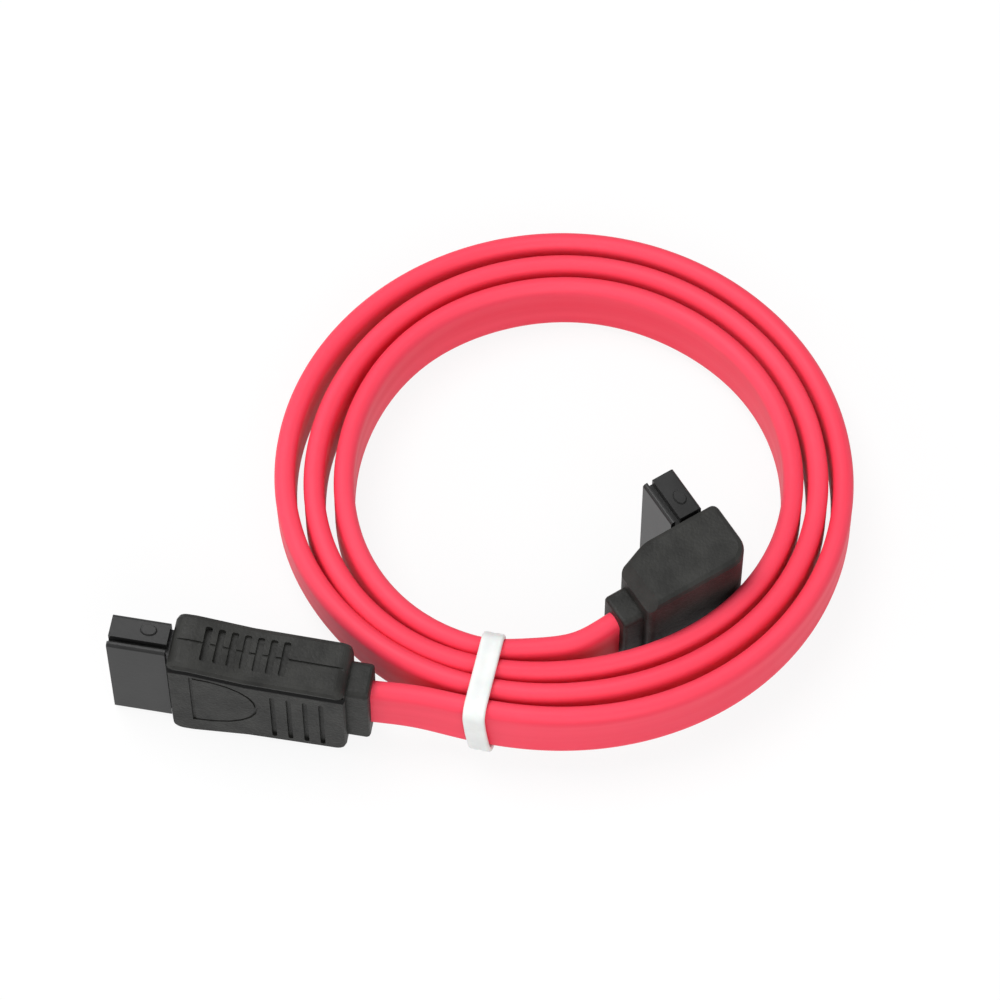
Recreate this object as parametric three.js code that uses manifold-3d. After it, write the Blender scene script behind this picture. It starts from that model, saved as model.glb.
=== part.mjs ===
// SATA data cable: one flat red ribbon with a straight plug at one end and a
// right-angle plug at the other, wound into a flat ring and held by a white tie.
// Lengths are millimetres and angles are degrees. +Z is up and the floor is Z = 0.

import * as THREE from 'three';
import { mergeVertices } from 'three/addons/utils/BufferGeometryUtils.js';
import Module from 'manifold-3d';

const wasm = await Module();
wasm.setup();

// Clearance between two pieces that seat on each other
const SEAT_GAP = 0.3;

// Ribbon, standing on its narrow edge
const RIBBON_WIDTH = 6.8;
const RIBBON_THICKNESS = 2.1;
const RIBBON_EDGE_SIDES = 3;

// Spiral of the wound ribbon, counter-clockwise and inwards, seen from above
const COIL_RADIUS = 29.03;
const TURN_PITCH = 2.55;
const WINDING_ANGLE = 252;
const COIL_START_BEFORE = 5.5;
const COIL_END_PAST = 7;
const WOUND_TURNS = 3;
const OVAL_SIZE = 0.45;
const OVAL_ANGLE = 114;
const OFF_CENTRE_SIZE = 0.4;
const OFF_CENTRE_ANGLE = 344;
const FRONT_LOOSENESS = 0.92;
const FRONT_LOOSE_ANGLE = 272;
const FRONT_LOOSE_SPREAD = 44;
const FAR_LOOSENESS = 0.21;
const FAR_LOOSE_ANGLE = 81;
const FAR_LOOSE_SPREAD = 44;
const SLACK_SIZES = [2.91, 3.28, 3.91];
const SLACK_ANGLE = 206;
const SLACK_SPREAD = 62;
const SLACK_DRIFT = 18;
const FLARE_SIZE = 1.2;
const FLARE_SPREAD = 15;
const COIL_STEP_ANGLE = 4;
const COIL_EDGE_CHAMFER = 0.5;

// Moulded body shared by both plugs
const BODY_WIDTH = 14.4;
const BODY_EDGE_RADIUS = 0.6;
const NECK_THICKNESS = 4;
const NECK_EDGE_RADIUS = 0.7;

// Keyed socket at the front of each plug, stepped in from the body it seats in
const NOSE_STEP = 0.35;
const NOSE_WIDTH = BODY_WIDTH - 2 * NOSE_STEP;
const NOSE_THICKNESS = 3.6;
const NOSE_CORNER = 0.35;
const SHANK_STEP = 0.95;
const SHANK_WIDTH = NOSE_WIDTH - 2 * SHANK_STEP;
const SHANK_THICKNESS = 3;
const SHANK_LENGTH = 3.6;
const SLOT_WALL = 1.55;
const SLOT_LENGTH = NOSE_WIDTH - 2 * SLOT_WALL;
const SLOT_HEIGHT = 1.1;
const SLOT_DEPTH = 5.4;
const SLOT_OFFSET = 0.35;
const KEY_LEG_LENGTH = 1.3;
const KEY_LEG_HEIGHT = 0.9;
const KEY_GROOVE_WIDTH = 0.6;
const KEY_GROOVE_DEPTH = 0.9;
const KEY_FLANGE = 0.5;
const BUMP_LENGTH = 1.5;
const BUMP_WIDTH = 1.1;
const BUMP_HEIGHT = 0.2;
const BUMP_FROM_BODY = 1.3;

// Spring contacts inside each socket
const CONTACT_COUNT = 7;
const CONTACT_PITCH = 1.27;
const CONTACT_WIDTH = 0.45;
const CONTACT_THICKNESS = 0.25;
const CONTACT_BOW = 0.35;
const CONTACT_RECESS = 0.7;
const CONTACT_TAIL = 1.2;
const CHANNEL_SIDE_GAP = 0.25;

// Straight plug
const STRAIGHT_NOSE_LENGTH = 5.9;
const STRAIGHT_BODY_LENGTH = 17.9;
const STRAIGHT_NECK_LENGTH = 2.25;
const STRAIGHT_NECK_SHOULDER = 2.4;
const STRAIGHT_NECK_WIDTH = BODY_WIDTH - 2 * STRAIGHT_NECK_SHOULDER;
const STRAIGHT_BODY_THICKNESS = 6.2;
const BOOT_STEP = 1;
const STRAIGHT_BOOT_WIDTH = BODY_WIDTH - 2 * BOOT_STEP;
const STRAIGHT_WAIST = 0.35;
const STRAIGHT_CORNER = 1.2;
const LEAST_CORNER = 0.2;
const PANEL_DEPTH = 0.25;
const PANEL_RIM = 0.8;
const PANEL_LINE_WIDTH = 0.4;
const PANEL_LINE_DEPTH = 0.2;
const PARTING_WIDTH = 0.25;
const PARTING_DEPTH = 0.2;
const THUMB_DEPTH = 0.15;
const THUMB_LINE = 0.35;
const THUMB_LENGTH = 6.8;
const THUMB_WIDTH = 9.4;
const THUMB_FROM_NOSE = 2.2;
const WAIST_START = 2.2;
const WAIST_LENGTH = 5.6;
const GRIP_COUNT = 4;
const GRIP_PITCH = 1.65;
const GRIP_WIDTH = 0.5;
const GRIP_LENGTH = 8.6;
const GRIP_DEPTH = 0.3;
const GRIP_DROP = 1.3;
const GRIP_FROM_BOOT = 2.4;
const RIB_COUNT = 6;
const RIB_WIDTH = 0.6;
const RIB_POCKET_LENGTH = 8.6;
const RIB_POCKET_WIDTH = 3.8;
const RIB_POCKET_DEPTH = 0.3;
const RIB_POCKET_FROM_NOSE = 3.2;

// Right-angle plug
const ANGLED_NOSE_LENGTH = 5.2;
const ANGLED_BODY_LENGTH = 12.2;
const ANGLED_NECK_LENGTH = 2.2;
const ANGLED_NECK_SHOULDER = 2.9;
const ANGLED_NECK_WIDTH = BODY_WIDTH - 2 * ANGLED_NECK_SHOULDER;
const ANGLED_BODY_THICKNESS = 7;
const ANGLED_BODY_SHIFT = 0.4;
const ANGLED_NOSE_FROM_END = 1.45;
const ANGLED_SHOULDER = 3.6;
const ANGLED_SHOULDER_DROP = 1.4;
const ANGLED_CORNER = 0.8;
const ANGLED_HEEL = 2.4;
const ANGLED_CHAMFER = 1.2;

// Tie band
const TIE_ANGLE = 255.2;
const TIE_SIDEWAYS = 1.9;
const TIE_WIDTH = 2.3;
const TIE_THICKNESS = 0.7;
const TIE_CORNER = 1.6;
const TIE_SIDE_GAP = 0.35;

// Where the ribbon leaves the straight plug, as X and Y from the ring's outer end
const STRAIGHT_HEADING = -10;
const STRAIGHT_EXIT_OFFSET = [-7.36, 1.59];

// The angled plug has its heel beside the ring's innermost turn
const ANGLED_HEADING = 32;
const HEEL_ANGLE = 320.8;
const HEEL_GAP = 0.62;

// Hand-chosen points of the leads: how far along from the plug to the ring, and how far aside
const STRAIGHT_LEAD = [[0.67, 0.25]];
const ANGLED_LEAD = [[0.415, 0.62], [0.75, 0.42]];
const LEAD_STEPS = 10;

// A lead leaves the ring beside its neighbour: it is set off sideways, starts a gap away from
// the ring's end, and runs straight for a short way at both of its ends
const MOUTH_GAP = 0.45;
const STRAIGHT_MOUTH_SHIFT = 0.35;
const ANGLED_MOUTH_SHIFT = 0.75;
const LEAD_STRAIGHT_RUN = 1;

const jacketRed = { color: 0xd8324a, roughness: 0.5, metalness: 0 };
const overmouldBlack = { color: 0x232524, roughness: 0.6, metalness: 0 };
const housingBlack = { color: 0x2b2c2b, roughness: 0.4, metalness: 0 };
const contactGold = { color: 0xd8b060, roughness: 0.3, metalness: 1 };
const tieWhite = { color: 0xf2f4f0, roughness: 0.45, metalness: 0 };

const radians = THREE.MathUtils.degToRad;

// Solids

function solid(geometry) {
  const bare = geometry.clone();
  bare.deleteAttribute('normal');
  bare.deleteAttribute('uv');
  const merged = mergeVertices(bare, 1e-4);
  return new wasm.Manifold(new wasm.Mesh({
    numProp: 3,
    vertProperties: new Float32Array(merged.attributes.position.array),
    triVerts: new Uint32Array(merged.index.array),
  }));
}

function geometryOf(manifold) {
  const mesh = manifold.getMesh();
  const geometry = new THREE.BufferGeometry();
  geometry.setAttribute('position', new THREE.BufferAttribute(mesh.vertProperties, 3));
  geometry.setIndex(new THREE.BufferAttribute(mesh.triVerts, 1));
  geometry.computeVertexNormals();
  return geometry;
}

function cut(body, tools) {
  return tools.reduce((rest, tool) => rest.subtract(tool), body);
}

function box(x, y, z, cx, cy, cz) {
  return solid(new THREE.BoxGeometry(x, y, z).translate(cx, cy, cz));
}

// Closed outline through corners given as [x, y, radius]
function roundedOutline(corners) {
  const shape = new THREE.Shape();
  corners.forEach(([x, y, radius], i) => {
    const before = corners[(i + corners.length - 1) % corners.length];
    const after = corners[(i + 1) % corners.length];
    const back = new THREE.Vector2(before[0] - x, before[1] - y).normalize();
    const ahead = new THREE.Vector2(after[0] - x, after[1] - y).normalize();
    const halfAngle = Math.acos(THREE.MathUtils.clamp(back.dot(ahead), -1, 1)) / 2;
    const centre = back.clone().add(ahead).normalize().multiplyScalar(radius / Math.sin(halfAngle));
    const reach = radius / Math.tan(halfAngle);
    const first = back.clone().multiplyScalar(reach);
    const last = ahead.clone().multiplyScalar(reach);
    if (i === 0) shape.moveTo(x + first.x, y + first.y);
    else shape.lineTo(x + first.x, y + first.y);
    if (radius === 0) return;
    const from = first.clone().sub(centre).angle();
    const to = last.clone().sub(centre).angle();
    const clockwise = back.cross(ahead) > 0;
    shape.absarc(x + centre.x, y + centre.y, radius, from, to, clockwise);
  });
  return shape;
}

function roundedRectangle(width, height, radius) {
  const w = width / 2;
  const h = height / 2;
  return roundedOutline([[-w, -h, radius], [w, -h, radius], [w, h, radius], [-w, h, radius]]);
}

// Extrudes a shape to a full depth that includes its rounded edges
function extruded(shape, depth, edge = 0, curveSegments = 4) {
  const geometry = new THREE.ExtrudeGeometry(shape, {
    depth: depth - 2 * edge,
    bevelEnabled: edge > 0,
    bevelThickness: edge,
    bevelSize: edge,
    bevelOffset: -edge,
    bevelSegments: 2,
    curveSegments,
  });
  return geometry.translate(0, 0, edge - depth / 2);
}

// Turns a shape drawn in X and Z with its depth along Z so that the depth lies along Y
function standUp(geometry) {
  return geometry.rotateX(Math.PI / 2);
}

function mesh(name, geometry, look) {
  const piece = new THREE.Mesh(geometry, new THREE.MeshStandardMaterial(look));
  piece.name = name;
  return piece;
}

// Ribbon spiral

const coilStart = WINDING_ANGLE - COIL_START_BEFORE;
const coilEnd = WINDING_ANGLE + 360 * WOUND_TURNS + COIL_END_PAST;

// Distance between two neighbouring turns, which lie looser in two places of the ring
function turnPitch(angle) {
  const front = angleBetween(angle, FRONT_LOOSE_ANGLE) / FRONT_LOOSE_SPREAD;
  const far = angleBetween(angle, FAR_LOOSE_ANGLE) / FAR_LOOSE_SPREAD;
  return TURN_PITCH + FRONT_LOOSENESS * Math.exp(-(front ** 2)) + FAR_LOOSENESS * Math.exp(-(far ** 4));
}

function angleBetween(a, b) {
  return THREE.MathUtils.euclideanModulo(a - b + 180, 360) - 180;
}

function spiralRadius(angle) {
  let radius = COIL_RADIUS - turnPitch(angle) * (angle - WINDING_ANGLE) / 360;
  radius += OVAL_SIZE * Math.cos(2 * radians(angle - OVAL_ANGLE));
  radius += OFF_CENTRE_SIZE * Math.cos(radians(angle - OFF_CENTRE_ANGLE));
  radius += FLARE_SIZE * Math.exp(-(angle - coilStart) / FLARE_SPREAD);
  SLACK_SIZES.forEach((size, turn) => {
    const peak = SLACK_ANGLE + 360 * (turn + 1) + SLACK_DRIFT * turn;
    radius += size * Math.exp(-(((angle - peak) / SLACK_SPREAD) ** 2));
  });
  return radius;
}

function spiralPoint(angle, offset = 0) {
  const radius = spiralRadius(angle) + offset;
  return new THREE.Vector2(radius * Math.cos(radians(angle)), radius * Math.sin(radians(angle)));
}

// Once round the spiral from one angle, with a last step across to where it began
function turnOutline(from, offset) {
  const points = [];
  const steps = Math.round(360 / COIL_STEP_ANGLE);
  for (let i = 0; i <= steps; i += 1) {
    points.push(spiralPoint(from + 360 * i / steps, offset));
  }
  return points;
}

// The ring leans: its far edge lies on the floor and its front hangs between the plugs
const plugMiddle = BODY_WIDTH / 2;
const farRadius = spiralRadius(WINDING_ANGLE + 180) + RIBBON_THICKNESS / 2;
const frontRadius = spiralRadius(WINDING_ANGLE);
const frontRise = plugMiddle - RIBBON_WIDTH / 2;
const coilTilt = Math.asin(frontRise / (farRadius + frontRadius));

function onCoil(x, y, height) {
  const point = new THREE.Vector3(x, y - farRadius, height);
  point.applyAxisAngle(new THREE.Vector3(1, 0, 0), -coilTilt);
  point.y += farRadius;
  return point;
}

function makeCoil() {
  const shape = new THREE.Shape(turnOutline(coilStart, RIBBON_THICKNESS / 2));
  shape.holes.push(new THREE.Path(turnOutline(coilEnd - 360, -RIBBON_THICKNESS / 2)));
  const ring = extruded(shape, RIBBON_WIDTH, COIL_EDGE_CHAMFER);
  ring.translate(0, -farRadius, RIBBON_WIDTH / 2);
  const piece = mesh('cable_coil', ring, jacketRed);
  piece.rotation.x = -coilTilt;
  piece.position.y = farRadius;
  return piece;
}

// Section of the ribbon: X runs across its width and Y through its thickness
function ribbonSection() {
  const radius = RIBBON_THICKNESS / 2;
  const reach = RIBBON_WIDTH / 2 - radius;
  const section = new THREE.Shape();
  for (const side of [1, -1]) {
    for (let i = 0; i <= RIBBON_EDGE_SIDES; i += 1) {
      const turn = Math.PI * (i / RIBBON_EDGE_SIDES - 0.5);
      const x = side * (reach + radius * Math.cos(turn));
      const y = side * radius * Math.sin(turn);
      if (side === 1 && i === 0) section.moveTo(x, y);
      else section.lineTo(x, y);
    }
  }
  return section;
}

function makeLead(name, points) {
  const geometry = new THREE.ExtrudeGeometry(ribbonSection(), {
    steps: LEAD_STEPS,
    bevelEnabled: false,
    extrudePath: new THREE.CatmullRomCurve3(points),
  });
  return mesh(name, geometry, jacketRed);
}

function heading(degrees) {
  return new THREE.Vector2(Math.cos(radians(degrees)), Math.sin(radians(degrees)));
}

// The two last points of a lead where it leaves the ring; side is 1 past the ring's inner end
// and -1 before its outer end
function mouthPoints(angle, side, shift) {
  const radial = heading(angle);
  const along = new THREE.Vector2(-radial.y, radial.x).multiplyScalar(side);
  return [LEAD_STRAIGHT_RUN, 0].map((run) => {
    const point = spiralPoint(angle, -side * shift).addScaledVector(along, MOUTH_GAP + run);
    return onCoil(point.x, point.y, RIBBON_WIDTH / 2);
  });
}

// A lead's route from its plug, level with the plug's middle, to the ring
function leadPoints(exit, exitHeading, middle, mouth) {
  const away = heading(exitHeading);
  const points = [0, LEAD_STRAIGHT_RUN].map((run) => {
    const point = exit.clone().addScaledVector(away, SEAT_GAP + run);
    return new THREE.Vector3(point.x, point.y, plugMiddle);
  });
  const end = new THREE.Vector2(mouth[0].x, mouth[0].y);
  const span = end.clone().sub(exit);
  const aside = new THREE.Vector2(-span.y, span.x).normalize();
  for (const [share, sideways] of middle) {
    const point = exit.clone().lerp(end, share).addScaledVector(aside, sideways);
    points.push(new THREE.Vector3(point.x, point.y, THREE.MathUtils.lerp(plugMiddle, mouth[0].z, share)));
  }
  return [...points, ...mouth];
}

// Plug socket, drawn with its mouth at X = 0, its shank along +X and its middle at Y = Z = 0.
// The key groove and the contacts lie towards -Y.

const contactRoot = -SLOT_HEIGHT / 2 + SLOT_OFFSET;
const channelFloor = contactRoot - CONTACT_RECESS;
const channelWidth = CONTACT_WIDTH + 2 * CHANNEL_SIDE_GAP;

function contactPlace(index) {
  return (index - (CONTACT_COUNT - 1) / 2) * CONTACT_PITCH - KEY_LEG_LENGTH / 4;
}

function makeSocket(name, noseLength) {
  const length = noseLength + SHANK_LENGTH;
  const noseShape = roundedRectangle(NOSE_THICKNESS, NOSE_WIDTH, NOSE_CORNER);
  const nose = solid(extruded(noseShape, noseLength).rotateY(Math.PI / 2).rotateX(Math.PI / 2)
    .translate(noseLength / 2, 0, 0));
  const shankStart = noseLength - NOSE_CORNER;
  const shank = box(length - shankStart, SHANK_THICKNESS, SHANK_WIDTH, (length + shankStart) / 2, 0, 0);
  const bumpCentre = noseLength - BUMP_FROM_BODY - BUMP_LENGTH / 2;
  const bumpRadius = BUMP_WIDTH / 2;
  const bump = solid(new THREE.CylinderGeometry(bumpRadius, bumpRadius + BUMP_HEIGHT, BUMP_HEIGHT * 2, 12)
    .rotateX(Math.PI / 2).scale(BUMP_LENGTH / BUMP_WIDTH, 1, 1)
    .translate(bumpCentre, (KEY_FLANGE + KEY_GROOVE_WIDTH) / 2, NOSE_WIDTH / 2));
  const slot = box(2 * SLOT_DEPTH, SLOT_HEIGHT, SLOT_LENGTH, 0, SLOT_OFFSET, 0);
  const leg = box(2 * SLOT_DEPTH, KEY_LEG_HEIGHT * 2, KEY_LEG_LENGTH,
    0, contactRoot, (SLOT_LENGTH - KEY_LEG_LENGTH) / 2);
  const grooveY = -NOSE_THICKNESS / 2 + KEY_FLANGE + KEY_GROOVE_WIDTH / 2;
  const grooves = [1, -1].map((side) => box(2 * noseLength, KEY_GROOVE_WIDTH, 2 * KEY_GROOVE_DEPTH,
    0, grooveY, side * NOSE_WIDTH / 2));
  const channels = [];
  for (let i = 0; i < CONTACT_COUNT; i += 1) {
    const top = contactRoot + SEAT_GAP;
    channels.push(box(3 * length, top - channelFloor, channelWidth,
      0, (top + channelFloor) / 2, contactPlace(i)));
  }
  const body = cut(nose.add(shank).add(bump), [slot, leg, ...grooves, ...channels]);
  return mesh(name, geometryOf(body), housingBlack);
}

// Side view of one contact strip: a flat tail and a spring bowed into the slot
function contactShape(length) {
  const low = channelFloor + SEAT_GAP;
  const bowStart = length * 0.45;
  const shape = new THREE.Shape();
  shape.moveTo(length, low);
  shape.lineTo(length, low + CONTACT_THICKNESS);
  shape.lineTo(bowStart, low + CONTACT_THICKNESS);
  shape.quadraticCurveTo(bowStart / 2, low + 2 * CONTACT_BOW + CONTACT_THICKNESS, 0, low + CONTACT_THICKNESS);
  shape.lineTo(0, low);
  shape.quadraticCurveTo(bowStart / 2, low + 2 * CONTACT_BOW, bowStart, low);
  return shape;
}

function makeContact(name, index, noseLength) {
  const mouth = CONTACT_RECESS;
  const length = noseLength + SHANK_LENGTH + CONTACT_TAIL - mouth;
  const strip = extruded(contactShape(length), CONTACT_WIDTH, 0, 6);
  return mesh(name, strip.translate(mouth, 0, contactPlace(index)), contactGold);
}

// Pocket in a moulded body for the socket's shank and the contacts' tails, from X = 0 inwards
function socketPocket() {
  const depth = SHANK_LENGTH + CONTACT_TAIL + SEAT_GAP;
  const seat = box(2 * (SHANK_LENGTH + SEAT_GAP), SHANK_THICKNESS + 2 * SEAT_GAP,
    SHANK_WIDTH + 2 * SEAT_GAP, 0, 0, 0);
  const rowWidth = (CONTACT_COUNT - 1) * CONTACT_PITCH + channelWidth;
  const tails = box(2 * depth, -2 * channelFloor, rowWidth, 0, 0, -KEY_LEG_LENGTH / 4);
  return seat.add(tails);
}

function addSocket(group, prefix, noseLength) {
  group.add(makeSocket(`${prefix}_plug_housing`, noseLength));
  for (let i = 0; i < CONTACT_COUNT; i += 1) {
    group.add(makeContact(`${prefix}_plug_contact_${i + 1}`, i, noseLength));
  }
}

// Neck along X, from its end at X = 0 into the body
function makeNeck(reach, width) {
  const shape = roundedRectangle(width, NECK_THICKNESS, NECK_EDGE_RADIUS);
  const neck = extruded(shape, reach, NECK_EDGE_RADIUS / 2);
  return solid(neck.rotateX(Math.PI / 2).rotateZ(Math.PI / 2).rotateX(Math.PI / 2)
    .translate(reach / 2, 0, 0));
}

// Straight plug body, from the socket end at X = 0 to the neck, seen on its wide face

const frontHalf = BODY_WIDTH / 2;
const bootHalf = STRAIGHT_BOOT_WIDTH / 2;
const waistEnd = WAIST_START + WAIST_LENGTH;
const waistHalf = THREE.MathUtils.lerp(frontHalf, bootHalf, waistEnd / STRAIGHT_BODY_LENGTH) - STRAIGHT_WAIST;

function straightOutline() {
  const upper = [
    [STRAIGHT_BODY_LENGTH, bootHalf, STRAIGHT_CORNER],
    [waistEnd, waistHalf, WAIST_LENGTH],
    [WAIST_START, frontHalf, WAIST_LENGTH / 2],
    [0, frontHalf, STRAIGHT_CORNER],
  ];
  const lower = upper.map(([x, y, radius]) => [x, -y, radius]).reverse();
  return roundedOutline([...lower, ...upper]);
}

// Everything beyond a line that follows the body's narrow side, set in from it; farSide is where
// the shape ends
function besideNarrowSide(inset, farSide) {
  const before = -BODY_WIDTH;
  const after = STRAIGHT_BODY_LENGTH + BODY_WIDTH;
  return new THREE.Shape([
    new THREE.Vector2(before, frontHalf - inset),
    new THREE.Vector2(WAIST_START, frontHalf - inset),
    new THREE.Vector2(waistEnd, waistHalf - inset),
    new THREE.Vector2(STRAIGHT_BODY_LENGTH, bootHalf - inset),
    new THREE.Vector2(after, bootHalf - inset),
    new THREE.Vector2(after, farSide),
    new THREE.Vector2(before, farSide),
  ]);
}

// A wide face below its upper rim, this deep to both sides of Y = 0
function panelBelow(rim, depth) {
  return solid(standUp(extruded(besideNarrowSide(rim, -BODY_WIDTH), 2 * depth)));
}

// D-shaped line pressed into the wide face as a thumb mark
function thumbShape() {
  const shape = thumbCurve(new THREE.Shape(), 0);
  shape.holes.push(thumbCurve(new THREE.Path(), THUMB_LINE));
  return shape;
}

function thumbCurve(path, inset) {
  const half = THUMB_WIDTH / 2 - inset;
  const reach = (THUMB_LENGTH - inset) * 4 / 3;
  path.moveTo(inset, -half);
  path.bezierCurveTo(reach, -half, reach, half, inset, half);
  path.closePath();
  return path;
}

function makeStraightBody(name) {
  const block = solid(standUp(extruded(straightOutline(), STRAIGHT_BODY_THICKNESS, BODY_EDGE_RADIUS)));
  const neck = makeNeck(STRAIGHT_NECK_LENGTH + BODY_EDGE_RADIUS, STRAIGHT_NECK_WIDTH)
    .translate([STRAIGHT_BODY_LENGTH - BODY_EDGE_RADIUS, 0, 0]);
  const faceY = STRAIGHT_BODY_THICKNESS / 2 - PANEL_DEPTH;
  const panel = panelBelow(PANEL_RIM, PANEL_DEPTH);
  const line = panelBelow(PANEL_RIM, PANEL_LINE_DEPTH)
    .subtract(panelBelow(PANEL_RIM + PANEL_LINE_WIDTH, 2 * PANEL_LINE_DEPTH));
  const thumb = solid(standUp(extruded(thumbShape(), 2 * THUMB_DEPTH, 0, 12)));
  const gripShape = roundedRectangle(GRIP_WIDTH, GRIP_LENGTH, GRIP_WIDTH * 0.48);
  const grip = solid(standUp(extruded(gripShape, 2 * GRIP_DEPTH)));
  const marks = [];
  for (const side of [1, -1]) {
    marks.push(panel.translate([0, side * (faceY + PANEL_DEPTH), 0]));
    marks.push(line.translate([0, side * faceY, 0]));
    marks.push(thumb.translate([THUMB_FROM_NOSE, side * faceY, 0]));
    for (let i = 0; i < GRIP_COUNT; i += 1) {
      const x = STRAIGHT_BODY_LENGTH - GRIP_FROM_BOOT - i * GRIP_PITCH;
      marks.push(grip.translate([x, side * faceY, -GRIP_DROP]));
    }
    marks.push(...ribPockets(side));
    marks.push(partingLine(side));
  }
  return mesh(name, geometryOf(cut(cut(block, marks).add(neck), [socketPocket()])), overmouldBlack);
}

function partingLine(side) {
  const line = extruded(besideNarrowSide(PARTING_DEPTH, BODY_WIDTH), PARTING_WIDTH);
  return solid(standUp(line)).rotate([side > 0 ? 0 : 180, 0, 0]);
}

// The pocket in a narrow side is cut as the spaces between its ribs
function ribPockets(side) {
  const spaces = RIB_COUNT + 1;
  const space = (RIB_POCKET_LENGTH - RIB_COUNT * RIB_WIDTH) / spaces;
  const shape = roundedRectangle(space, RIB_POCKET_WIDTH, space / 3);
  const pocket = solid(extruded(shape, 2 * (RIB_POCKET_DEPTH + STRAIGHT_WAIST)));
  const pockets = [];
  for (let i = 0; i < spaces; i += 1) {
    const x = RIB_POCKET_FROM_NOSE + space / 2 + i * (space + RIB_WIDTH);
    const edge = THREE.MathUtils.lerp(frontHalf, bootHalf, x / STRAIGHT_BODY_LENGTH);
    pockets.push(pocket.translate([x, 0, side * edge]));
  }
  return pockets;
}

function placedPlug(exit, headingDegrees, exitX) {
  const group = new THREE.Group();
  const turn = heading(headingDegrees);
  group.position.set(exit.x - turn.x * exitX, exit.y - turn.y * exitX, plugMiddle);
  group.rotation.z = radians(headingDegrees);
  return group;
}

const straightExit = spiralPoint(coilStart).add(new THREE.Vector2(...STRAIGHT_EXIT_OFFSET));

function makeStraightPlug() {
  const reach = STRAIGHT_NOSE_LENGTH + SEAT_GAP + STRAIGHT_BODY_LENGTH + STRAIGHT_NECK_LENGTH;
  const group = placedPlug(straightExit, STRAIGHT_HEADING, reach);
  addSocket(group, 'straight', STRAIGHT_NOSE_LENGTH);
  const body = makeStraightBody('straight_plug_overmould');
  body.position.x = STRAIGHT_NOSE_LENGTH + SEAT_GAP;
  group.add(body);
  return group;
}

// Right-angle plug body, seen from its narrow side. The neck ends at X = 0, the ribbon runs
// along +X and the socket looks along +Y.

const angledStart = ANGLED_NECK_LENGTH;
const angledEnd = ANGLED_NECK_LENGTH + ANGLED_BODY_LENGTH;
const angledFace = ANGLED_BODY_THICKNESS / 2 + ANGLED_BODY_SHIFT;
const angledBack = angledFace - ANGLED_BODY_THICKNESS;
const angledNoseCentre = angledEnd - ANGLED_NOSE_FROM_END - NOSE_THICKNESS / 2;

function makeAngledBody(name) {
  const outline = roundedOutline([
    [angledStart, angledBack, ANGLED_CORNER],
    [angledEnd, angledBack, ANGLED_HEEL],
    [angledEnd, angledFace, ANGLED_CORNER],
    [angledStart + ANGLED_SHOULDER, angledFace, ANGLED_SHOULDER],
    [angledStart, angledFace - ANGLED_SHOULDER_DROP, ANGLED_CORNER],
  ]);
  const block = solid(extruded(outline, BODY_WIDTH, BODY_EDGE_RADIUS));
  const neck = makeNeck(ANGLED_NECK_LENGTH + BODY_EDGE_RADIUS, ANGLED_NECK_WIDTH);
  const chamfers = [1, -1].map((side) => box(BODY_WIDTH, BODY_WIDTH, BODY_WIDTH, -BODY_WIDTH / 2, 0, 0)
    .rotate([0, side * 45, 0])
    .translate([angledStart, 0, side * (BODY_WIDTH / 2 - ANGLED_CHAMFER)]));
  const pocket = socketPocket().rotate([0, 0, -90]).translate([angledNoseCentre, angledFace, 0]);
  return mesh(name, geometryOf(cut(block, chamfers).add(neck).subtract(pocket)), overmouldBlack);
}

// The middle of the heel's rounding lies on a line from the ring's middle to its innermost turn
function angledExit() {
  const inset = RIBBON_THICKNESS / 2 + HEEL_GAP + ANGLED_HEEL;
  const heel = spiralPoint(HEEL_ANGLE + 360 * (WOUND_TURNS - 1), -inset);
  const back = new THREE.Vector2(angledEnd - ANGLED_HEEL, angledBack + ANGLED_HEEL);
  return heel.sub(back.rotateAround(new THREE.Vector2(), radians(ANGLED_HEADING)));
}

function makeAngledPlug() {
  const group = placedPlug(angledExit(), ANGLED_HEADING, 0);
  const socket = new THREE.Group();
  addSocket(socket, 'angled', ANGLED_NOSE_LENGTH);
  socket.rotation.z = radians(-90);
  socket.position.set(angledNoseCentre, angledFace + SEAT_GAP + ANGLED_NOSE_LENGTH, 0);
  group.add(socket);
  group.add(makeAngledBody('angled_plug_overmould'));
  return group;
}

// Tie band: a flat strip closed round every turn of the ribbon at one side of the ring

function makeTie() {
  const outside = spiralRadius(WINDING_ANGLE) + RIBBON_THICKNESS / 2 + TIE_SIDE_GAP;
  const inside = spiralRadius(WINDING_ANGLE + 360 * WOUND_TURNS) - RIBBON_THICKNESS / 2 - TIE_SIDE_GAP;
  const span = outside - inside;
  const height = RIBBON_WIDTH + 2 * SEAT_GAP;
  const loop = roundedRectangle(span + 2 * TIE_THICKNESS, height + 2 * TIE_THICKNESS, TIE_CORNER);
  const holeCorner = Math.max(TIE_CORNER - TIE_THICKNESS, LEAST_CORNER);
  loop.holes.push(roundedRectangle(span, height, holeCorner));
  const band = extruded(loop, TIE_WIDTH, 0, 4).rotateX(Math.PI / 2)
    .translate((inside + outside) / 2, -TIE_SIDEWAYS, 0);
  const piece = mesh('tie_band', band.rotateZ(radians(TIE_ANGLE))
    .translate(0, -farRadius, RIBBON_WIDTH / 2), tieWhite);
  piece.rotation.x = -coilTilt;
  piece.position.y = farRadius;
  return piece;
}

const straightMouth = mouthPoints(coilStart, -1, STRAIGHT_MOUTH_SHIFT);
const angledMouth = mouthPoints(coilEnd, 1, ANGLED_MOUTH_SHIFT);
const straightPoints = leadPoints(straightExit, STRAIGHT_HEADING, STRAIGHT_LEAD, straightMouth);
const angledPoints = leadPoints(angledExit(), ANGLED_HEADING + 180, ANGLED_LEAD, angledMouth);

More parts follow.
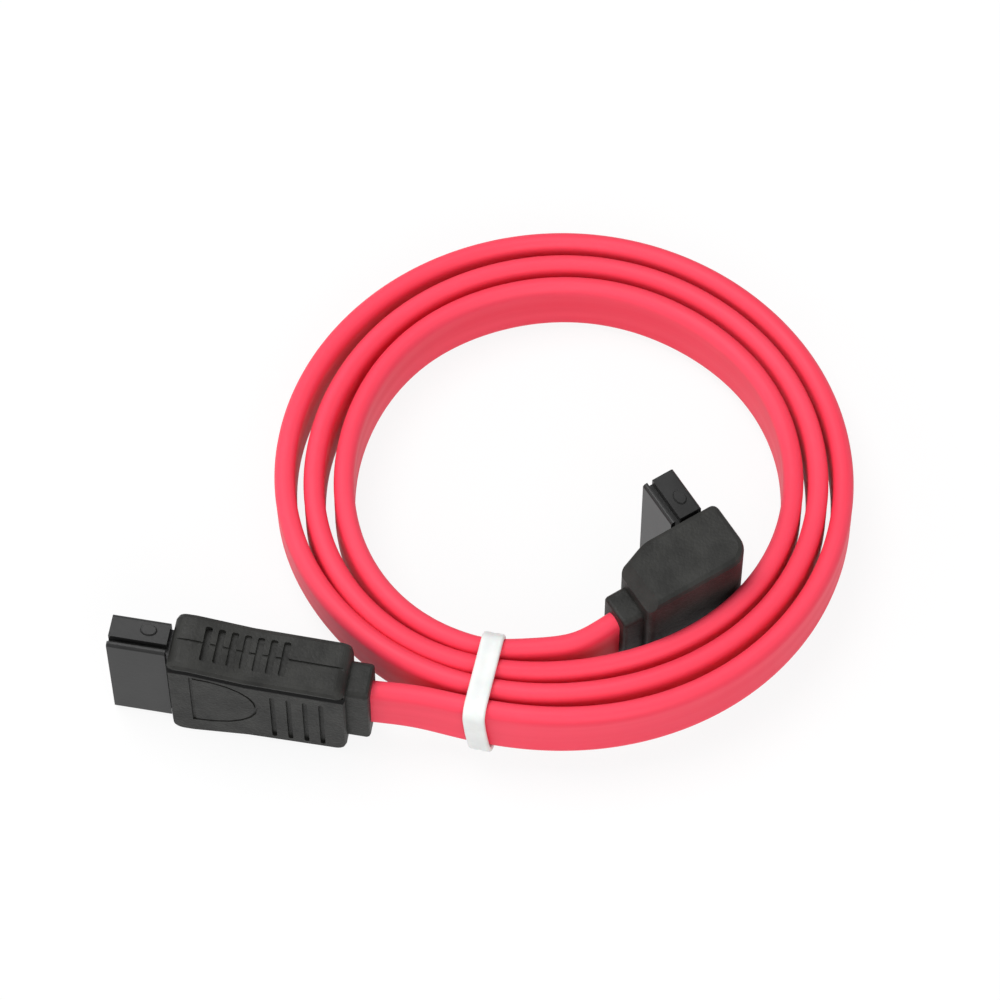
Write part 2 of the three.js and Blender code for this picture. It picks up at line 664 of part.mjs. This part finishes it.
const root = new THREE.Group();
root.add(makeCoil());
root.add(makeLead('cable_lead_straight', straightPoints));
root.add(makeLead('cable_lead_angled', angledPoints));
root.add(makeTie());
root.add(makeStraightPlug());
root.add(makeAngledPlug());

// The origin is the middle of the whole part's footprint on the floor
root.updateMatrixWorld(true);
const bounds = new THREE.Box3().setFromObject(root, true);
root.position.set(-(bounds.min.x + bounds.max.x) / 2, -(bounds.min.y + bounds.max.y) / 2, -bounds.min.z);
export default root;
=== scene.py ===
import math

import bmesh
import bpy
import numpy as np
from mathutils import Matrix, Vector

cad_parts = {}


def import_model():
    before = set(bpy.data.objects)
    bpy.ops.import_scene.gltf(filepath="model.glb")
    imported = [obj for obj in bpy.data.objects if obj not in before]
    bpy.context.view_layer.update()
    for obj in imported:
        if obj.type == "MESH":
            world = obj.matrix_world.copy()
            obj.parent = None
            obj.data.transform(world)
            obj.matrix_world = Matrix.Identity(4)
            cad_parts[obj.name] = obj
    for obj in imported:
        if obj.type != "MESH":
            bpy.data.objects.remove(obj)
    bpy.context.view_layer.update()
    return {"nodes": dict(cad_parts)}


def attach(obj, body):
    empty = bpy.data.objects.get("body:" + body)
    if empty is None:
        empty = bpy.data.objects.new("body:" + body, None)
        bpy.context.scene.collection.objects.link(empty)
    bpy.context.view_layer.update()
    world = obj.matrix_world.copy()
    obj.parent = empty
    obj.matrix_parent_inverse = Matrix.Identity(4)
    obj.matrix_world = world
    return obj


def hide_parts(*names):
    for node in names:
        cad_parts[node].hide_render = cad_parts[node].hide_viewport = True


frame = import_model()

MM = 0.001

# The ribbon's sizes and route in millimetres, from the middle of the ring. They are the solids'
# own, apart from the lead to the right-angle plug, which lies up to 0.2 mm nearer the ring.
RIBBON_WIDTH = 6.8
RIBBON_THICKNESS = 2.1
COIL_RADIUS = 29.03
TURN_PITCH = 2.55
WINDING_ANGLE = 252
COIL_START = WINDING_ANGLE - 5.5
WOUND_TURNS = 3
COIL_END = WINDING_ANGLE + 360 * WOUND_TURNS + 7
OVAL_SIZE = 0.45
OVAL_ANGLE = 114
OFF_CENTRE_SIZE = 0.4
OFF_CENTRE_ANGLE = 344
FRONT_LOOSENESS = 0.92
FRONT_LOOSE_ANGLE = 272
FRONT_LOOSE_SPREAD = 44
FAR_LOOSENESS = 0.21
FAR_LOOSE_ANGLE = 81
FAR_LOOSE_SPREAD = 44
SLACK_SIZES = (2.91, 3.28, 3.91)
SLACK_ANGLE = 206
SLACK_SPREAD = 62
SLACK_DRIFT = 18
FLARE_SIZE = 1.2
FLARE_SPREAD = 15
PLUG_MIDDLE = 7.2
STRAIGHT_EXIT = (-19.4, -26.09)
STRAIGHT_HEADING = -10
STRAIGHT_LEAD = [(-15.41, -26.51)]
ANGLED_EXIT = (4.72, -18.22)
ANGLED_HEADING = 32
ANGLED_LEAD = [(1.885, -20.28), (-0.71, -21.05)]
LEAD_STRAIGHT_RUN = 1

# How far the ribbon runs on into a boot past the end of its solid, and how far below the boot's
# middle it enters the right-angle plug's, where the photo shows no floor under it
INTO_BOOT = 0.7
ANGLED_LEAD_DROP = 0.4

# Where the ribbon leans outwards, as (angle along the winding, spread, lean), all in degrees
RIBBON_LEANS = ((575, 25, 6), (858, 35, 4.5))

# The socket end of the straight plug's body, and a dark line of painted shade under the rim on its
# faces, where the rim's shadow falls.
# Over RIM_WAIST's stretch of the body, counted from that end, the line's height above the plug's
# middle goes from the first of its two heights to the second, and RIM_BOOT's are added to it.
STRAIGHT_BODY = (-39.24, -22.59)
RIM_WAIST = ((2.2, 7.8), (5.55, 4.76))
RIM_BOOT = ((7.8, 17.9), (0, -0.21))
RIM_SHADE_WIDTH = 1.05

# Between these distances from the plug's middle plane the line fades in, below its wide faces
RIM_FACE = (2.3, 2.5)

# Camera, from the middle of the ring on the floor
CAMERA_ELEVATION = 61.7
CAMERA_DISTANCE = 517.6
CAMERA_TARGET = (-6.7, 0.57)
CAMERA_LENS = 180


def angle_between(a, b):
    return (a - b + 180) % 360 - 180


def turn_pitch(angle):
    front = angle_between(angle, FRONT_LOOSE_ANGLE) / FRONT_LOOSE_SPREAD
    far = angle_between(angle, FAR_LOOSE_ANGLE) / FAR_LOOSE_SPREAD
    pitch = TURN_PITCH + FRONT_LOOSENESS * math.exp(-front ** 2)
    return pitch + FAR_LOOSENESS * math.exp(-far ** 4)


def spiral_radius(angle):
    radius = COIL_RADIUS - turn_pitch(angle) * (angle - WINDING_ANGLE) / 360
    radius += OVAL_SIZE * math.cos(2 * math.radians(angle - OVAL_ANGLE))
    radius += OFF_CENTRE_SIZE * math.cos(math.radians(angle - OFF_CENTRE_ANGLE))
    radius += FLARE_SIZE * math.exp(-(angle - COIL_START) / FLARE_SPREAD)
    for turn, size in enumerate(SLACK_SIZES):
        peak = SLACK_ANGLE + 360 * (turn + 1) + SLACK_DRIFT * turn
        radius += size * math.exp(-(((angle - peak) / SLACK_SPREAD) ** 2))
    return radius


FAR_RADIUS = spiral_radius(WINDING_ANGLE + 180) + RIBBON_THICKNESS / 2
FRONT_RISE = PLUG_MIDDLE - RIBBON_WIDTH / 2
COIL_TILT = math.asin(FRONT_RISE / (FAR_RADIUS + spiral_radius(WINDING_ANGLE)))


def on_coil(x, y, height):
    """A point of the leaning ring, with its height measured square to the ring's own plane."""
    lean = Matrix.Rotation(-COIL_TILT, 3, "X")
    return lean @ Vector((x, y - FAR_RADIUS, height)) + Vector((0, FAR_RADIUS, 0))


def spiral_point(angle):
    radius = spiral_radius(angle)
    x = radius * math.cos(math.radians(angle))
    y = radius * math.sin(math.radians(angle))
    return on_coil(x, y, RIBBON_WIDTH / 2)


# The middle of the ring in the frame, as the solids are placed
RING_CENTRE = Vector((0.00812245, 0.00066445, 0.0))
BODY = "root"


def world(point):
    """A point in millimetres from the middle of the ring, as metres in the frame."""
    return RING_CENTRE + MM * Vector(point)


# Ribbon route

def heading(degrees):
    return Vector((math.cos(math.radians(degrees)), math.sin(math.radians(degrees)), 0))


def smoothstep(x):
    x = min(max(x, 0.0), 1.0)
    return x * x * (3 - 2 * x)


def lead_points(exit_xy, exit_z, direction, middle, mouth_z):
    start = Vector((*exit_xy, exit_z))
    points = [start - INTO_BOOT * direction, start + LEAD_STRAIGHT_RUN * direction]
    for i, (x, y) in enumerate(middle):
        share = (i + 1) / (len(middle) + 1)
        points.append(Vector((x, y, exit_z + (mouth_z - exit_z) * share)))
    return points


def catmull_rom(points, per_span=12):
    points = [2 * points[0] - points[1], *points, 2 * points[-1] - points[-2]]
    line = []
    for a, b, c, d in zip(points, points[1:], points[2:], points[3:]):
        for i in range(per_span):
            t = i / per_span
            line.append(0.5 * (2 * b + (c - a) * t + (2 * a - 5 * b + 4 * c - d) * t * t
                               + (3 * b - a - 3 * c + d) * t ** 3))
    line.append(points[-2].copy())
    return np.array(line)


def resample(line, step):
    lengths = np.concatenate([[0], np.cumsum(np.linalg.norm(np.diff(line, axis=0), axis=1))])
    count = int(round(lengths[-1] / step)) + 1
    at = np.linspace(0, lengths[-1], count)
    return np.stack([np.interp(at, lengths, line[:, k]) for k in range(3)], axis=1)


def smooth(line, passes):
    line = line.copy()
    for _ in range(passes):
        line[2:-2] = 0.25 * line[1:-3] + 0.5 * line[2:-2] + 0.25 * line[3:-1]
    return line


# The route goes through a point of the spiral every few degrees, but for a little at either end,
# where a lead runs into it, and is then divided evenly and smoothed
ROUTE_ANGLE_STEP = 5
LEFT_OUT_AT_START = 2
LEFT_OUT_AT_END = 8
ROUTE_STEP = 0.6
ROUTE_SMOOTHING = 14

# From a plug on, the ribbon turns from upright to square to the ring over this length
UPRIGHT_LENGTH = 12

# How deep each face of the ribbon is hollowed between its edges and its middle
FACE_HOLLOW = 0.035


def ribbon_route():
    start_z = spiral_point(COIL_START).z
    end_z = spiral_point(COIL_END).z
    first = lead_points(STRAIGHT_EXIT, PLUG_MIDDLE, heading(STRAIGHT_HEADING),
                        STRAIGHT_LEAD, start_z)
    last = lead_points(ANGLED_EXIT, PLUG_MIDDLE - ANGLED_LEAD_DROP, heading(ANGLED_HEADING + 180),
                       ANGLED_LEAD, end_z)
    count = int((COIL_END - COIL_START) / ROUTE_ANGLE_STEP)
    angles = np.linspace(COIL_START + LEFT_OUT_AT_START, COIL_END - LEFT_OUT_AT_END, count)
    turns = [spiral_point(angle) for angle in angles]
    line = catmull_rom([*first, *turns, *reversed(last)])
    return smooth(resample(line, ROUTE_STEP), ROUTE_SMOOTHING)


def ribbon_frames(route):
    """Side and up of each point: upright at the plugs and square to the ring on it."""
    tangent = np.gradient(route, axis=0)
    tangent /= np.linalg.norm(tangent, axis=1)[:, None]
    ring_up = np.array(Matrix.Rotation(-COIL_TILT, 3, "X") @ Vector((0, 0, 1)))
    along = np.linspace(0, 1, len(route))
    near = np.minimum(along, 1 - along) * len(route) * ROUTE_STEP / UPRIGHT_LENGTH
    share = np.array([smoothstep(x) for x in near])[:, None]
    up = (1 - share) * np.array([0.0, 0.0, 1.0]) + share * ring_up
    inward = np.cross(up, tangent)
    inward /= np.linalg.norm(inward, axis=1)[:, None]
    up = np.cross(tangent, inward)
    return inward, up


def lean_ribbon(route, inward, up):
    """Leans the ribbon outwards about its top edge where a loose turn does."""
    winding = np.degrees(np.unwrap(np.arctan2(route[:, 1], route[:, 0]))) + 360
    lean = sum(size * np.exp(-((winding - middle) / spread) ** 2)
               for middle, spread, size in RIBBON_LEANS)
    sine = np.sin(np.radians(lean))[:, None]
    cosine = np.cos(np.radians(lean))[:, None]
    route = route + inward * sine * RIBBON_WIDTH / 2
    return route, inward * cosine + up * sine, up * cosine - inward * sine


def ribbon_section(edge_sides=10, face_sides=8):
    """Points round the ribbon's section as (across its width, through its thickness)."""
    radius = RIBBON_THICKNESS / 2
    reach = RIBBON_WIDTH / 2 - radius
    points = []
    for side in (1, -1):
        for i in range(edge_sides + 1):
            turn = math.pi * (i / edge_sides - 0.5)
            across = reach + radius * math.cos(turn)
            points.append((side * across, side * radius * math.sin(turn)))
        for i in range(1, face_sides):
            share = i / face_sides
            across = side * reach * (1 - 2 * share)
            hollow = FACE_HOLLOW * (1 - math.cos(2 * math.pi * share * 2)) / 2
            points.append((across, side * (radius - hollow)))
    return points


def link(name, mesh, slot_name, *nodes):
    """Adds a finished mesh to the scene as a piece that rides on the body and replaces nodes."""
    piece = bpy.data.objects.new(name, mesh)
    bpy.context.scene.collection.objects.link(piece)
    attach(piece, BODY)
    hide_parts(*nodes)
    return piece


# Texture units to a metre, along and round a swept piece
UV_PER_METRE = 10


def sweep(name, rings, closed_ends, wrap=False):
    """Joins equal rings of points into one mesh, with UVs along and round it."""
    mesh = bmesh.new()
    uv = mesh.loops.layers.uv.new("UVMap")
    loops = [[mesh.verts.new(p) for p in ring] for ring in rings]
    lengths = [0.0]
    for a, b in zip(rings, rings[1:] + ([rings[0]] if wrap else [])):
        lengths.append(lengths[-1] + (Vector(b[0]) - Vector(a[0])).length)
    round_lengths = [0.0]
    ring = rings[0]
    for a, b in zip(ring, ring[1:] + [ring[0]]):
        round_lengths.append(round_lengths[-1] + (Vector(b) - Vector(a)).length)
    spans = len(loops) if wrap else len(loops) - 1
    size = len(ring)
    for i in range(spans):
        here, after = loops[i], loops[(i + 1) % len(loops)]
        for j in range(size):
            k = (j + 1) % size
            face = mesh.faces.new((here[j], here[k], after[k], after[j]))
            face.smooth = True
            corners = ((i, j), (i, j + 1), (i + 1, j + 1), (i + 1, j))
            for loop, (row, column) in zip(face.loops, corners):
                loop[uv].uv = (lengths[row] * UV_PER_METRE, round_lengths[column] * UV_PER_METRE)
    if closed_ends:
        mesh.faces.new(reversed(loops[0]))
        mesh.faces.new(loops[-1])
    bmesh.ops.recalc_face_normals(mesh, faces=mesh.faces)
    data = bpy.data.meshes.new(name)
    mesh.to_mesh(data)
    mesh.free()
    return data


def make_ribbon():
    route = ribbon_route()
    route, side, up = lean_ribbon(route, *ribbon_frames(route))
    section = ribbon_section()
    rings = []
    for point, s, u in zip(route, side, up):
        rings.append([world(point + across * u + through * s) for across, through in section])
    mesh = sweep("ribbon", rings, closed_ends=True)
    piece = link("ribbon", mesh, "jacket", "cable_coil", "cable_lead_straight", "cable_lead_angled")
    path = [world(p) for p in route]
    length = sum((b - a).length for a, b in zip(path, path[1:]))
    return piece, path, length


# Materials

def new_material(name, colour, roughness, metallic=0.0, specular=0.5):
    material = bpy.data.materials.new(name)
    material.use_nodes = True
    nodes = material.node_tree.nodes
    shader = nodes["Principled BSDF"]
    shader.inputs["Base Color"].default_value = (*colour, 1)
    shader.inputs["Roughness"].default_value = roughness
    shader.inputs["Metallic"].default_value = metallic
    shader.inputs["Specular IOR Level"].default_value = specular
    return material, nodes, material.node_tree.links, shader


def noise(nodes, links, scale, detail=4.0, stretch=None, source="Object"):
    place = nodes.new("ShaderNodeTexCoord")
    mapping = nodes.new("ShaderNodeMapping")
    if stretch:
        mapping.inputs["Scale"].default_value = stretch
    texture = nodes.new("ShaderNodeTexNoise")
    texture.inputs["Scale"].default_value = scale
    texture.inputs["Detail"].default_value = detail
    links.new(place.outputs[source], mapping.inputs["Vector"])
    links.new(mapping.outputs["Vector"], texture.inputs["Vector"])
    return texture


def ramp(nodes, links, texture, low, high, start=0.35, end=0.65):
    """A colour ramp between two colours, driven by a texture."""
    node = nodes.new("ShaderNodeValToRGB")
    node.color_ramp.elements[0].position = start
    node.color_ramp.elements[0].color = (*low, 1)
    node.color_ramp.elements[1].position = end
    node.color_ramp.elements[1].color = (*high, 1)
    links.new(texture.outputs["Fac"], node.inputs["Fac"])
    return node


def rough_range(nodes, links, texture, low, high):
    node = nodes.new("ShaderNodeMapRange")
    node.inputs["To Min"].default_value = low
    node.inputs["To Max"].default_value = high
    links.new(texture.outputs["Fac"], node.inputs["Value"])
    return node


def bump(nodes, links, texture, distance, strength=1.0, under=None):
    node = nodes.new("ShaderNodeBump")
    node.inputs["Distance"].default_value = distance
    node.inputs["Strength"].default_value = strength
    links.new(texture.outputs["Fac"], node.inputs["Height"])
    if under:
        links.new(under.outputs["Normal"], node.inputs["Normal"])
    return node


def wire(links, shader, colour, rough, normal):
    """Joins the nodes for colour, roughness and bumps to a shader."""
    links.new(colour.outputs["Color"], shader.inputs["Base Color"])
    links.new(rough.outputs["Result"], shader.inputs["Roughness"])
    links.new(normal.outputs["Normal"], shader.inputs["Normal"])


def jacket_material():
    """Extruded red PVC: smooth, faintly streaked along its length and slightly translucent."""
    material, nodes, links, shader = new_material(
        "jacket_red_pvc", (0.86, 0.055, 0.10), 0.55, specular=0.27)
    streaks = noise(nodes, links, 6, stretch=(0.35, 9, 1), source="UV")
    colour = ramp(nodes, links, streaks, (0.84, 0.044, 0.086), (0.88, 0.060, 0.108))
    cloudy = noise(nodes, links, 180, 3)
    rough = rough_range(nodes, links, cloudy, 0.48, 0.6)
    grain = noise(nodes, links, 2600, 2)
    grained = bump(nodes, links, grain, 0.00001, 0.5)
    wire(links, shader, colour, rough, bump(nodes, links, streaks, 0.00003, 0.6, grained))
    shader.inputs["Subsurface Weight"].default_value = 0.08
    shader.inputs["Subsurface Radius"].default_value = (1.0, 0.2, 0.1)
    shader.inputs["Subsurface Scale"].default_value = 0.0006
    return material


def painted_rim_shade(nodes, links):
    """1 on the line of painted shade under the straight plug's rim, which follows its waist, and
    else 0.
    """
    place = nodes.new("ShaderNodeTexCoord")
    mapping = nodes.new("ShaderNodeMapping")
    mapping.vector_type = "TEXTURE"
    mapping.inputs["Location"].default_value = world((*STRAIGHT_BODY, PLUG_MIDDLE))
    mapping.inputs["Rotation"].default_value = (0, 0, math.radians(STRAIGHT_HEADING))
    axes = nodes.new("ShaderNodeSeparateXYZ")
    links.new(place.outputs["Object"], mapping.inputs["Vector"])
    links.new(mapping.outputs["Vector"], axes.inputs["Vector"])

    def stretch(source, start, end, low, high):
        node = nodes.new("ShaderNodeMapRange")
        names = ("From Min", "From Max", "To Min", "To Max")
        for name, value in zip(names, (start, end, low, high)):
            node.inputs[name].default_value = value
        links.new(source, node.inputs["Value"])
        return node.outputs["Result"]

    def join(operation, first, second):
        node = nodes.new("ShaderNodeMath")
        node.operation = operation
        links.new(first, node.inputs[0])
        links.new(second, node.inputs[1])
        return node.outputs["Value"]

    def size(source):
        node = nodes.new("ShaderNodeMath")
        node.operation = "ABSOLUTE"
        links.new(source, node.inputs[0])
        return node.outputs["Value"]

    def height(places, heights):
        return stretch(axes.outputs["X"], *(MM * x for x in places), *(MM * z for z in heights))

    rim = join("ADD", height(*RIM_WAIST), height(*RIM_BOOT))
    off_line = size(join("SUBTRACT", axes.outputs["Z"], rim))
    line = stretch(off_line, MM * RIM_SHADE_WIDTH / 3, MM * RIM_SHADE_WIDTH * 2 / 3, 1, 0)
    face = stretch(size(axes.outputs["Y"]), *(MM * y for y in RIM_FACE), 0, 1)
    return join("MULTIPLY", line, face)


def overmould_material(name, rim_shaded):
    """Soft black moulding with a fine spark-eroded grain, with painted shade along the line under a
    rim.
    """
    material, nodes, links, shader = new_material(name, (0.018, 0.018, 0.017), 0.5, specular=0.2)
    patches = noise(nodes, links, 350, 4)
    mottle = ramp(nodes, links, patches, (0.011, 0.011, 0.010), (0.024, 0.024, 0.022))
    colour = mottle.outputs["Color"]
    grain = noise(nodes, links, 3200, 3)
    rough = rough_range(nodes, links, grain, 0.42, 0.62).outputs["Result"]
    if rim_shaded:
        # Painted shade: the line under the rim is made near black and fully rough, standing in for
        # the rim's shadow
        shade_mask = painted_rim_shade(nodes, links)
        painted_shade = nodes.new("ShaderNodeMix")
        painted_shade.data_type = "RGBA"
        painted_shade.inputs["B"].default_value = (0.001, 0.001, 0.001, 1)
        links.new(shade_mask, painted_shade.inputs["Factor"])
        links.new(colour, painted_shade.inputs["A"])
        colour = painted_shade.outputs["Result"]
        duller = nodes.new("ShaderNodeMath")
        duller.operation = "MAXIMUM"
        links.new(rough, duller.inputs[0])
        links.new(shade_mask, duller.inputs[1])
        rough = duller.outputs["Value"]
    links.new(colour, shader.inputs["Base Color"])
    links.new(rough, shader.inputs["Roughness"])
    links.new(bump(nodes, links, grain, 0.00006, 0.8).outputs["Normal"], shader.inputs["Normal"])
    return material


def housing_material():
    """Hard black socket plastic, smoother than the moulding, with faint flow marks."""
    material, nodes, links, shader = new_material(
        "housing_black", (0.016, 0.016, 0.016), 0.32, specular=0.2)
    flow = noise(nodes, links, 260, 3, stretch=(1, 1, 0.4))
    colour = ramp(nodes, links, flow, (0.012, 0.012, 0.012), (0.020, 0.020, 0.020))
    grain = noise(nodes, links, 2400, 2)
    rough = rough_range(nodes, links, flow, 0.26, 0.38)
    wire(links, shader, colour, rough, bump(nodes, links, grain, 0.00001, 0.5))
    return material


def contact_material():
    """Gold-plated spring strip with fine rolling marks."""
    material, nodes, links, shader = new_material("contact_gold", (0.83, 0.62, 0.28), 0.28, 1.0)
    marks = noise(nodes, links, 900, 3, stretch=(1, 1, 6))
    colour = ramp(nodes, links, marks, (0.76, 0.55, 0.24), (0.88, 0.67, 0.32))
    rough = rough_range(nodes, links, marks, 0.2, 0.36)
    wire(links, shader, colour, rough, bump(nodes, links, marks, 0.000005, 0.5))
    return material


def tie_material():
    """Smooth white plastic strip with a slight sheen and faint mottling."""
    material, nodes, links, shader = new_material("tie_white", (0.76, 0.78, 0.76), 0.34)
    mottle = noise(nodes, links, 420, 4)
    colour = ramp(nodes, links, mottle, (0.705, 0.725, 0.715), (0.77, 0.79, 0.775))
    rough = rough_range(nodes, links, mottle, 0.28, 0.42)
    wire(links, shader, colour, rough, bump(nodes, links, mottle, 0.00002, 0.4))
    shader.inputs["Subsurface Weight"].default_value = 0.1
    shader.inputs["Subsurface Scale"].default_value = 0.0005
    return material


def paint(obj, material):
    obj.data.materials.clear()
    obj.data.materials.append(material)


# Stage

FLOOR_HALF = 1.5

# How much of the floor's look is plain white where it is seen, and its grey where it isn't
FLOOR_WHITE = 0.88
FLOOR_GREY = (0.68, 0.68, 0.68, 1)

# How strongly the surroundings light the object, and how strongly they are seen
WORLD_LIGHT = 0.4
WORLD_SEEN = 1.0


def seen_rays(nodes, links):
    """1 for rays that show a surface to the camera, straight on, mirrored or through something."""
    rays = nodes.new("ShaderNodeLightPath")
    total = rays.outputs["Is Camera Ray"]
    for kind in ("Is Glossy Ray", "Is Transmission Ray"):
        either = nodes.new("ShaderNodeMath")
        either.operation = "MAXIMUM"
        links.new(total, either.inputs[0])
        links.new(rays.outputs[kind], either.inputs[1])
        total = either.outputs["Value"]
    return total


def floor_material():
    """White where it is seen, with a faint shadow, and greyer where it only sends light on."""
    material, nodes, links, shader = new_material("floor_white", (0.86, 0.86, 0.86), 0.9)
    glow = nodes.new("ShaderNodeEmission")
    glow.inputs["Strength"].default_value = 1.0
    dim = nodes.new("ShaderNodeBsdfDiffuse")
    dim.inputs["Color"].default_value = FLOOR_GREY
    white = nodes.new("ShaderNodeMixShader")
    white.inputs["Fac"].default_value = FLOOR_WHITE
    links.new(shader.outputs["BSDF"], white.inputs[1])
    links.new(glow.outputs["Emission"], white.inputs[2])
    mix = nodes.new("ShaderNodeMixShader")
    links.new(seen_rays(nodes, links), mix.inputs["Fac"])
    links.new(dim.outputs["BSDF"], mix.inputs[1])
    links.new(white.outputs["Shader"], mix.inputs[2])
    links.new(mix.outputs["Shader"], nodes["Material Output"].inputs["Surface"])
    return material


def make_floor():
    half = FLOOR_HALF
    mesh = bpy.data.meshes.new("floor")
    corners = [(-half, -half, 0), (half, -half, 0), (half, half, 0), (-half, half, 0)]
    mesh.from_pydata(corners, [], [(0, 1, 2, 3)])
    floor = bpy.data.objects.new("floor", mesh)
    bpy.context.scene.collection.objects.link(floor)
    paint(floor, floor_material())


def make_light(name, place, size, power):
    data = bpy.data.lights.new(name, "AREA")
    data.shape = "DISK"
    data.size = size
    data.energy = power
    light = bpy.data.objects.new(name, data)
    light.location = place
    light.rotation_euler = (-Vector(place)).to_track_quat("-Z", "Y").to_euler()
    bpy.context.scene.collection.objects.link(light)


def make_world():
    world_data = bpy.data.worlds.new("studio")
    world_data.use_nodes = True
    nodes = world_data.node_tree.nodes
    links = world_data.node_tree.links
    background = nodes["Background"]
    background.inputs["Strength"].default_value = WORLD_LIGHT
    background.inputs["Color"].default_value = (1, 1, 1, 1)
    seen = nodes.new("ShaderNodeBackground")
    seen.inputs["Strength"].default_value = WORLD_SEEN
    seen.inputs["Color"].default_value = (1, 1, 1, 1)
    mix = nodes.new("ShaderNodeMixShader")
    links.new(seen_rays(nodes, links), mix.inputs["Fac"])
    links.new(background.outputs["Background"], mix.inputs[1])
    links.new(seen.outputs["Background"], mix.inputs[2])
    links.new(mix.outputs["Shader"], nodes["World Output"].inputs["Surface"])
    bpy.context.scene.world = world_data


def make_camera():
    lift = math.radians(CAMERA_ELEVATION)
    back = Vector((0, -math.cos(lift), math.sin(lift)))
    data = bpy.data.cameras.new("camera")
    data.lens = CAMERA_LENS
    data.sensor_width = 36
    data.clip_start = 0.01
    camera = bpy.data.objects.new("camera", data)
    target = world((*CAMERA_TARGET, 0))
    camera.location = target + MM * CAMERA_DISTANCE * back
    camera.rotation_euler = back.to_track_quat("Z", "Y").to_euler()
    bpy.context.scene.collection.objects.link(camera)
    bpy.context.scene.camera = camera


# Tie, in millimetres: a band round the strands, which crosses them a little beside a radius of the
# ring, with its lower outer part pulled aside by the skew and a shallow channel along its face

TIE_ANGLE = 257.5
TIE_SIDEWAYS = 2.65
TIE_WIDTH = 2.25
TIE_THICKNESS = 0.6
TIE_SIDE_GAP = 0.15
TIE_FACE_GAP = 0.1
TIE_CORNER = 1.5
TIE_SKEW = 0.8
TIE_SKEW_POWER = 1.7
TIE_STEP = 0.5
TIE_CORNER_SIDES = 8
TIE_EDGE_SHARE = 0.9
TIE_EDGE_SIDES = 4
TIE_CHANNEL_HALF_WIDTH = 0.35
TIE_CHANNEL_DEPTH = 0.06


def beside_band(turns):
    """How far out the ribbon's middle lies where the band crosses it, along the band."""
    aside = math.asin(TIE_SIDEWAYS / spiral_radius(WINDING_ANGLE + 360 * turns))
    return spiral_radius(TIE_ANGLE + 360 * turns - math.degrees(aside)) * math.cos(aside)


def tie_loop():
    """Centre line of the band in its own plane, as (distance out, height, sideways)."""
    half = TIE_THICKNESS / 2
    reach = RIBBON_THICKNESS / 2 + TIE_SIDE_GAP + half
    outer = beside_band(0) + reach
    inner = beside_band(WOUND_TURNS) - reach
    low = -TIE_FACE_GAP - half
    high = RIBBON_WIDTH + TIE_FACE_GAP + half
    corners = [(outer, low), (outer, high), (inner, high), (inner, low)]
    starts = [-90, 0, 90, 180]
    points = []
    for (x, z), start in zip(corners, starts):
        cx = x - math.copysign(TIE_CORNER, x - (inner + outer) / 2)
        cz = z - math.copysign(TIE_CORNER, z - (low + high) / 2)
        for i in range(TIE_CORNER_SIDES + 1):
            turn = math.radians(start + 90 * i / TIE_CORNER_SIDES)
            points.append((cx + TIE_CORNER * math.cos(turn), cz + TIE_CORNER * math.sin(turn)))
    filled = []
    for here, after in zip(points, points[1:] + points[:1]):
        count = max(1, round(math.dist(here, after) / TIE_STEP))
        for i in range(count):
            x = here[0] + (after[0] - here[0]) * i / count
            z = here[1] + (after[1] - here[1]) * i / count
            lowness = ((high - z) / (high - low)) ** TIE_SKEW_POWER
            skew = TIE_SKEW * lowness * smoothstep((x - inner) / (outer - inner))
            filled.append((x, z, skew))
    return filled


def strip_section():
    """Section of the band as (along the ribbon, out of the loop), with rounded edges."""
    half_width = TIE_WIDTH / 2
    half = TIE_THICKNESS / 2
    round_off = half * TIE_EDGE_SHARE
    points = []
    for sx, sy, start in ((1, -1, -90), (1, 1, 0), (-1, 1, 90), (-1, -1, 180)):
        for i in range(TIE_EDGE_SIDES + 1):
            turn = math.radians(start + 90 * i / TIE_EDGE_SIDES)
            points.append((sx * (half_width - round_off) + round_off * math.cos(turn),
                           sy * (half - round_off) + round_off * math.sin(turn)))
        if (sx, sy) == (1, 1):
            channel = TIE_CHANNEL_HALF_WIDTH
            points += [(channel, half), (0.0, half - TIE_CHANNEL_DEPTH), (-channel, half)]
    return points


def make_tie(material):
    loop = tie_loop()
    section = strip_section()
    along = heading(TIE_ANGLE + 90)
    radial = heading(TIE_ANGLE)
    count = len(loop)
    rings = []
    for i, (radius, height, skew) in enumerate(loop):
        before, after = loop[i - 1], loop[(i + 1) % count]
        tangent = Vector((after[0] - before[0], after[1] - before[1])).normalized()
        out = Vector((tangent.y, -tangent.x))
        ring = []
        for across, through in section:
            r = radius + through * out.x
            flat = radial * r + along * (across - TIE_SIDEWAYS + skew)
            ring.append(world(on_coil(flat.x, flat.y, height + through * out.y)))
        rings.append(ring)
    mesh = sweep("tie", rings, closed_ends=False, wrap=True)
    piece = link("tie", mesh, "tie", "tie_band")
    paint(piece, material)
    return piece


make_camera()
ribbon, ribbon_path, ribbon_length = make_ribbon()
paint(ribbon, jacket_material())
tie = make_tie(tie_material())

PLUGS = ("straight", "angled")
CONTACTS = 7
overmoulds = {"straight": overmould_material("overmould_black_painted_rim_shade", True),
              "angled": overmould_material("overmould_black", False)}
housing = housing_material()
contact = contact_material()
for plug in PLUGS:
    looks = {f"{plug}_plug_overmould": overmoulds[plug], f"{plug}_plug_housing": housing}
    for i in range(CONTACTS):
        looks[f"{plug}_plug_contact_{i + 1}"] = contact
    for name, material in looks.items():
        node = frame["nodes"][name]
        paint(node, material)

make_floor()
make_world()
make_light("key", place=(-0.3, 0.2, 0.9), size=0.6, power=6.1)
make_light("fill", place=(0.2, -0.8, 0.6), size=0.8, power=4.7)
make_light("side", place=(-0.8, -0.2, 0.3), size=0.8, power=2.2)

bpy.context.scene.view_settings.view_transform = "Standard"
